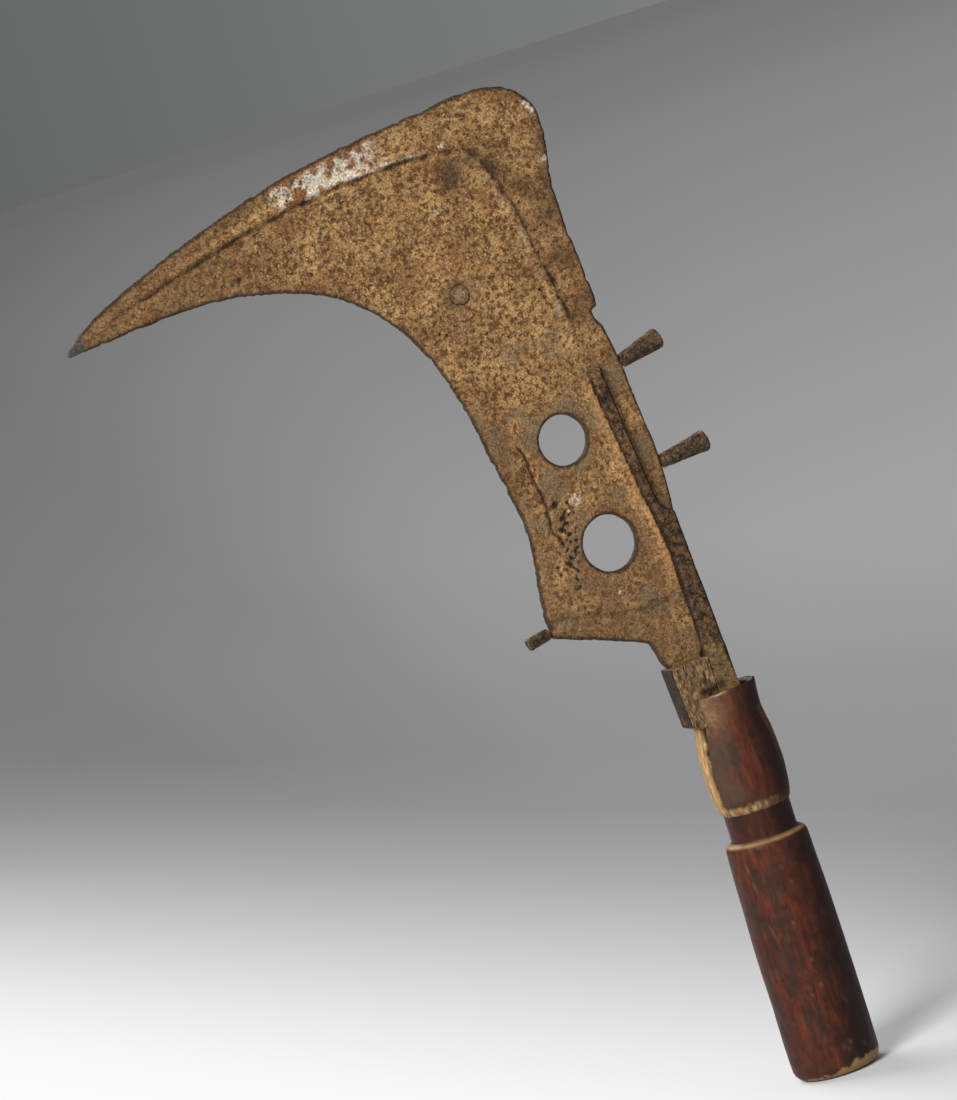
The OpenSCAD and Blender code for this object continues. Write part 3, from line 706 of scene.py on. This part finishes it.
# old tree pitch with soot: near black, dull, lumpy
pitchMaterial, tree = newMaterial("sootyTreePitch")
place = addNode(tree, "TexCoord").outputs["Object"]
lumps = addNode(tree, "TexNoise", None, {"Vector": place, "Scale": 1 / (1.6 * mm), "Detail": 4.0})
pitchTone = addNode(tree, "ValToRGB", None, {0: lumps.outputs[0]},
                    [(0.35, hexTone("#15110D")), (0.6, hexTone("#2C2219")), (0.75, hexTone("#5A4630"))])
pitchBump = addNode(tree, "Bump", None, {"Strength": 0.9, "Distance": 0.4 * mm, "Height": lumps.outputs[0]})
pitch = addNode(tree, "BsdfPrincipled", None,
                {"Base Color": pitchTone.outputs[0], "Roughness": 0.75, "Normal": pitchBump.outputs[0]})
addNode(tree, "OutputMaterial", None, {"Surface": pitch.outputs[0]})
finishPiece(bedding, "bedding", pitchMaterial)
print("bedding laid")


# handle

handleLook = {
    "around": 168,
    "step": 0.55,  # spacing of the rings along the outline
    # outline, butt to lip and down into the mouth: radius, height above the butt
    "outline": [(0, 0), (11.5, 0), (13.6, 0.3), (15.3, 1.1), (16.3, 2.4), (16.8, 4), (16.9, 8), (16.9, 44),
                (16.8, 54), (16.5, 66), (16.3, 76), (16.0, 86), (15.75, 90.6), (15.2, 92.2), (14.2, 93),
                (13.1, 93.3), (12.75, 94.2), (12.7, 98), (12.7, 103.6), (12.9, 104.5), (13.4, 104.8),
                (13.75, 105.6), (14.2, 108.5), (14.65, 112), (15, 117), (15, 121), (14.85, 127),
                (14.3, 132.5), (13.6, 136.5), (13.15, 140), (13.25, 144), (13.6, 148.5), (13.75, 150.4),
                (13.4, 151), (12.4, 150.9), (11.6, 150.2), (11.3, 149), (11.3, 139), (0, 139)],
    "gripRoom": 17.15,  # the worn skin stays inside this radius
    # the polished skin's left and right borders on the barrel: height, degrees round from the ridged face
    "skinLeft": [(104, -70), (109, -75), (125, -74), (131, -71), (138, -71), (152, -73)],
    "skinRight": [(104, 74), (109, 70), (112, 66), (120, 52), (127, 44), (133, 38), (141, 36), (142.5, 62)],
    # scuffs on the grip: degrees, height, length, width
    "scuffs": [(-62, 84, 4, 1.1), (-58, 77, 5, 0.9), (-52, 60, 6, 0.8), (-15, 82, 2, 0.9), (-8, 76, 1.8, 1.0),
               (-22, 61, 2.5, 0.9), (-14, 46, 1.6, 0.7), (-12, 36, 2, 0.9), (14, 27, 3.4, 1.1),
               (-26, 33, 1.6, 0.9), (-4, 10, 4, 1.5), (3, 12, 2.4, 1.1), (24, 9, 2.5, 0.8),
               (120, 40, 4, 1.2), (-150, 66, 5, 1.0), (165, 22, 3, 1.2), (-110, 30, 4, 1.0)],
}


def traceOutline(corners, step):
    line = [Vector((corners[0][0], 0, corners[0][1]))]
    for a, b in zip(corners[:-1], corners[1:]):
        a, b = Vector((a[0], 0, a[1])), Vector((b[0], 0, b[1]))
        count = max(1, round((b - a).length / step))
        line += [a.lerp(b, (k + 1) / count) for k in range(count)]
    return line


outline = traceOutline(handleLook["outline"], handleLook["step"])
mesh = bpy.data.meshes.new("carvedHandle")
mesh.from_pydata([(p.x * mm, 0, (p.z - buttDrop) * mm) for p in outline],
                 [(i, i + 1) for i in range(len(outline) - 1)], [])
handle = bpy.data.objects.new("carvedHandle", mesh)
scene.collection.objects.link(handle)
pickOnly(handle)
bpy.ops.object.mode_set(mode="EDIT")
bpy.ops.mesh.select_all(action="SELECT")
bpy.ops.mesh.spin(steps=handleLook["around"], angle=2 * math.pi, center=(0, 0, 0), axis=(0, 0, 1))
bpy.ops.mesh.select_all(action="SELECT")
bpy.ops.mesh.remove_doubles(threshold=0.00002)
bpy.ops.mesh.normals_make_consistent(inside=False)
bpy.ops.object.mode_set(mode="OBJECT")
bpy.ops.object.shade_smooth()
print("handle spun", len(handle.data.polygons), "faces")

# the window for the collar and the burnt-in socket of the tang are cut out
cutLook = {
    "window": (-30, 0, -6.5, 5.0, 139.02, 160),  # x, y and height above the butt, from and to
    "seat": 139,  # height of the mouth's floor above the butt
    "socketHead": 4.15,  # half the socket's width at the seat
    "socketEnd": 2.15,  # and at its bottom
    "socketDeep": 84.3,
    "tangX": 2.15,
}
x0, x1, y0, y1, z0, z1 = cutLook["window"]
bpy.ops.mesh.primitive_cube_add(
    size=1, location=((x0 + x1) / 2 * mm, (y0 + y1) / 2 * mm, ((z0 + z1) / 2 - buttDrop) * mm))
window = bpy.context.object
window.scale = ((x1 - x0) * mm, (y1 - y0) * mm, (z1 - z0) * mm)
bpy.ops.object.transform_apply(location=True, rotation=True, scale=True)
bpy.ops.mesh.primitive_cone_add(
    vertices=4, radius1=cutLook["socketEnd"] * math.sqrt(2) * mm,
    radius2=cutLook["socketHead"] * math.sqrt(2) * mm, depth=(cutLook["socketDeep"] + 1) * mm,
    rotation=(0, 0, math.radians(45)),
    location=(cutLook["tangX"] * mm, 0, (cutLook["seat"] + (1 - cutLook["socketDeep"]) / 2 - buttDrop) * mm))
socket = bpy.context.object
bpy.ops.object.transform_apply(location=True, rotation=True, scale=True)
for cutter in (window, socket):
    carve = handle.modifiers.new("Carve", "BOOLEAN")
    carve.operation = "DIFFERENCE"
    carve.solver = "EXACT"
    carve.object = cutter
    applyAll(handle)
    bpy.data.objects.remove(cutter)
print("handle cut", len(handle.data.polygons), "faces")

points = readPoints(handle)
height = points[:, 2] + buttDrop
radius = np.hypot(points[:, 0], points[:, 1])
angle = np.degrees(np.arctan2(points[:, 0], -points[:, 1]))
corners = np.array(handleLook["outline"])[1:33]  # butt rim to lip
outerRadius = np.interp(height, corners[:, 1], corners[:, 0])
skin = ease(radius - outerRadius, -0.7, -0.2)  # 1 on the outer wall
round0 = np.stack([points[:, 0], points[:, 1], height], 1)
ragged = grain(round0, 3, 101) * 4 + grain(round0, 1.2, 102) * 2.2  # in degrees
leftAt = np.interp(height, [h for h, _ in handleLook["skinLeft"]], [a for _, a in handleLook["skinLeft"]])
rightAt = np.interp(height, [h for h, _ in handleLook["skinRight"]], [a for _, a in handleLook["skinRight"]])
arc = math.radians(1) * 15  # mm for each degree round the barrel
gripArc = math.radians(1) * 16.5  # and round the grip
leftOut = (leftAt - angle + ragged) * arc  # mm past the left border
rightOut = (angle - rightAt + ragged) * arc
rearSkin = ease(np.abs(angle) + ragged * 1.5, 118, 122)
onBarrel = ease(height + ragged * 0.15, 105.6, 106.8) * (1 - ease(height + ragged * 0.12, 140.4, 141.4))
bareLeft = ease(leftOut, -0.25, 0.25) * (angle < 0)
bareRight = ease(rightOut, -0.25, 0.25) * (angle > 0)
bare = np.clip(bareLeft + bareRight, 0, 1) * (1 - rearSkin) * onBarrel * skin
crack = np.exp(-((leftOut - 0.1) / 0.6) ** 2) * (angle < 0) * onBarrel * (0.5 + 0.7 * ease(height, 124, 130))
crack = np.minimum(crack, 1)
crack += np.exp(-((rightOut - 0.2) / 0.45) ** 2) * (angle > 0) * onBarrel * 0.4
crack *= 1 - rearSkin
fibre = grain(round0, 0.9, 103, (1, 1, 12)) + grain(round0, 2.1, 104, (1, 1, 9)) * 0.8
ticks = grain(round0, 0.8, 114, (1, 1, 10))
barrelRing = 1 - ease(height + ragged * 0.12 + ticks * 1.6, 106.9, 108.2)
barrelRing *= skin * (height > 104.3) * (height < 112)
shoulderRing = np.exp(-((height - 92.7) / 0.55) ** 2) * skin
buttBite = 3.4 * ease(angle, -55, 20) * (1 - ease(angle, 80, 120))
buttWear = 1 - ease(height - ragged * 0.3 - buttBite - fibre * 0.5, 0.8, 1.9)
shape = grain(round0, 16, 105) * 0.16 + grain(round0, 5, 106) * 0.06
scuff = np.zeros(len(points))
for turnAt, heightAt, long, wide in handleLook["scuffs"]:
    gone = (angle - turnAt + 180) % 360 - 180
    leaning = gone * gripArc + (height - heightAt) * 0.25
    scuff += np.exp(-(leaning / wide) ** 2 * 2.2 - ((height - heightAt) / (long / 2)) ** 2 * 1.5)
scuff = np.clip(scuff, 0, 1) * ease(fibre, -0.9, 0.3) * skin
change = shape + fibre * 0.02
change += bare * (0.25 * bareLeft - 0.1 * bareRight + fibre * 0.16) - crack * 0.75
change -= barrelRing * (0.1 + 0.1 * np.abs(ticks)) + scuff * 0.25
change -= buttWear * (np.abs(ragged) * 0.05 + 0.08) * ease(radius, 10, 14)
change *= skin
change = np.minimum(change, handleLook["gripRoom"] - outerRadius)
factor = 1 + change / np.maximum(radius, 1)
points[:, 0] *= factor
points[:, 1] *= factor
# the lip: an uneven broken rim that rises to a small spike on the right
onLip = ease(height, 144, 150.5) * ease(radius, 11.2, 11.6)
lipWave = grain(round0, 5, 107) * 0.5 + grain(round0, 1.6, 108) * 0.22 - 0.35
lipWave -= 0.9 * ease(-angle, 20, 70) * (angle < 0)
spike = np.exp(-((angle - 62) / 7) ** 2) * 0.9
points[:, 2] += onLip * np.minimum(lipWave + spike, 0.3)
buttFace = (height < 0.6) & (radius < 13.5)
points[:, 2] += np.where(buttFace, np.abs(grain(round0, 2.5, 109)) * 0.35 * ease(13.5 - radius, 0, 3), 0)
writePoints(handle, points)

paintMask(handle, "bareWood", bare + barrelRing * (0.3 + 0.5 * ease(ticks, -0.4, 0.4)))
# painted highlight on the front of the lip's rim; the shoulder ring and the butt's rim are pale wear
lipGlint = ease(height, 149.7, 150.4) * np.exp(-((angle + 26) / 12) ** 2)
paintMask(handle, "wornRingAndLipGlint", shoulderRing * (0.8 + 0.4 * grain(round0, 4, 110)) + buttWear * 0.9
          + lipGlint * 0.9)
paintMask(handle, "shadyBare", ease(angle, -8, 26) * (1 - ease(angle, 150, 170))
          + 0.35 * ease(fibre, 0.1, 0.7))
paintMask(handle, "scuffed", scuff)
paintMask(handle, "crack", crack)
leftFront = np.exp(-((angle + 55) / 22) ** 2)
paintMask(handle, "dust", ease(height + ragged, 134, 144) * np.exp(-((angle + 58) / 34) ** 2) * skin
          * (0.6 + 0.4 * ease(grain(round0, 1.3, 113) + 0.6 * grain(round0, 4, 115), -0.4, 0.4)))
# painted shade down the right side of the handle, with darker patches elsewhere and a darker neck between
# shoulder and barrel
paintMask(handle, "darkSkinAndShade", np.clip(
    leftFront * (height > 107) * (1 - ease(height, 128, 140)) * 0.35
    + ease(angle + ragged, -14, 38) * (1 - ease(angle, 140, 175)) * 0.95
    + (height > 93.5) * (height < 104.6) * 0.6
    + (1 - ease(angle, -88, -64)) * ease(angle, -150, -110) * (height < 92) * 0.4
    + np.exp(-((height - 13) / 15) ** 2) * ease(angle, -45, 0) * (1 - ease(angle, 90, 130)) * 0.5
    + np.exp(-((height - 52) / 16) ** 2) * np.exp(-((angle + 8) / 16) ** 2) * 0.3
    + 0.35 * ease(grain(round0, 5, 112), 0.05, 0.4) * (height < 92), 0, 1) * skin)
paintMask(handle, "greenSkin", leftFront * ease(height, 107, 110) * (1 - ease(height, 130, 142))
          * (0.45 + 0.4 * ease(fibre, -0.5, 0.5) + 0.35 * ease(grain(round0, 3, 111), -0.3, 0.3)))
paintMask(handle, "inside", 1 - skin)

# close-grained hardwood, carved, then darkened and polished by the hand: deep red-brown with darker streaks
woodMaterial, tree = newMaterial("handPolishedHardwood")
place = addNode(tree, "TexCoord").outputs["Object"]
alongGrain = addNode(tree, "Mapping", {"vector_type": "POINT"}, {"Vector": place, "Scale": (1, 1, 0.24)})
alongPatch = addNode(tree, "Mapping", {"vector_type": "POINT"}, {"Vector": place, "Scale": (1, 1, 0.5)})
streaks = addNode(tree, "TexNoise", None, {
    "Vector": alongGrain.outputs[0], "Scale": 1 / (2.4 * mm), "Detail": 5.0, "Roughness": 0.62,
    "Distortion": 0.4})
pores = addNode(tree, "TexNoise", None, {
    "Vector": alongGrain.outputs[0], "Scale": 1 / (0.7 * mm), "Detail": 3.0, "Roughness": 0.6})
patches = addNode(tree, "TexNoise", None, {
    "Vector": alongPatch.outputs[0], "Scale": 1 / (7 * mm), "Detail": 4.0, "Roughness": 0.62,
    "Distortion": 0.5})
smears = addNode(tree, "TexNoise", None, {
    "Vector": place, "Scale": 1 / (3.2 * mm), "Detail": 4.0, "Roughness": 0.65})
wood = addNode(tree, "ValToRGB", None, {0: streaks.outputs[0]}, [
    (0.25, hexTone("#391B13")), (0.44, hexTone("#482217")), (0.58, hexTone("#5A2A1A")),
    (0.78, hexTone("#743921"))])
patchShare = addNode(tree, "ValToRGB", None, {0: patches.outputs[0]}, [(0.44, 0.0), (0.64, 0.8)])
wood = addNode(tree, "Mix", mixTone, {0: patchShare.outputs[0], 6: wood.outputs[0], 7: hexTone("#2F251E")})
smearShare = addNode(tree, "ValToRGB", None, {0: smears.outputs[0]}, [(0.52, 0.0), (0.7, 0.4)])
wood = addNode(tree, "Mix", mixTone, {0: smearShare.outputs[0], 6: wood.outputs[2], 7: hexTone("#4A3A2E")})
poreShare = addNode(tree, "ValToRGB", None, {0: pores.outputs[0]}, [(0.32, 0.6), (0.44, 0.0)])
wood = addNode(tree, "Mix", mixTone, {0: poreShare.outputs[0], 6: wood.outputs[2], 7: hexTone("#22150F")})
rawTone = addNode(tree, "ValToRGB", None, {0: streaks.outputs[0]}, [
    (0.3, hexTone("#5A3F27")), (0.44, hexTone("#8A6844")), (0.58, hexTone("#AA8A5F")),
    (0.72, hexTone("#CDB48C"))])
shadyMask = addNode(tree, "Attribute", {"attribute_name": "shadyBare"})
shadyShare = addNode(tree, "Math", {"operation": "MULTIPLY"}, {0: shadyMask.outputs["Fac"], 1: 0.92})
rawTone = addNode(tree, "Mix", mixTone, {
    0: shadyShare.outputs[0], 6: rawTone.outputs[0], 7: hexTone("#4F331D")})
for attribute, tone, strength in (("greenSkin", "#584738", 0.8), ("darkSkinAndShade", "#1F1613", 0.85),
                                  ("dust", "#82694A", 0.85), ("inside", "#2A1A13", 0.95),
                                  ("scuffed", "#75604C", 0.38), ("wornRingAndLipGlint", "#A08058", 0.85)):
    mask = addNode(tree, "Attribute", {"attribute_name": attribute})
    share = addNode(tree, "Math", {"operation": "MULTIPLY"}, {0: mask.outputs["Fac"], 1: strength})
    wood = addNode(tree, "Mix", mixTone, {0: share.outputs[0], 6: wood.outputs[2], 7: hexTone(tone)})
bareMask = addNode(tree, "Attribute", {"attribute_name": "bareWood"})
wood = addNode(tree, "Mix", mixTone, {0: bareMask.outputs["Fac"], 6: wood.outputs[2], 7: rawTone.outputs[2]})
crackMask = addNode(tree, "Attribute", {"attribute_name": "crack"})
crackShare = addNode(tree, "Math", {"operation": "MULTIPLY"}, {0: crackMask.outputs["Fac"], 1: 0.9})
wood = addNode(tree, "Mix", mixTone, {0: crackShare.outputs[0], 6: wood.outputs[2], 7: hexTone("#1C130E")})
roughPatch = addNode(tree, "MapRange", None, {0: smears.outputs[0], 1: 0.3, 2: 0.7, 3: 0.4, 4: 0.58})
roughWood = addNode(tree, "Mix", {"data_type": "FLOAT"}, {
    0: bareMask.outputs["Fac"], 2: roughPatch.outputs[0], 3: 0.66})
woodRelief = addNode(tree, "Math", {"operation": "MULTIPLY_ADD"}, {
    0: pores.outputs[0], 1: 0.6, 2: streaks.outputs[0]})
woodBump = addNode(tree, "Bump", None, {
    "Strength": 0.5, "Distance": 0.12 * mm, "Height": woodRelief.outputs[0]})
polish = addNode(tree, "BsdfPrincipled", None, {
    "Base Color": wood.outputs[2], "Roughness": roughWood.outputs[0], "IOR": 1.5,
    "Specular IOR Level": 0.12, "Normal": woodBump.outputs[0]})
addNode(tree, "OutputMaterial", None, {"Surface": polish.outputs[0]})
finishPiece(handle, "handle", woodMaterial)
print("handle carved")
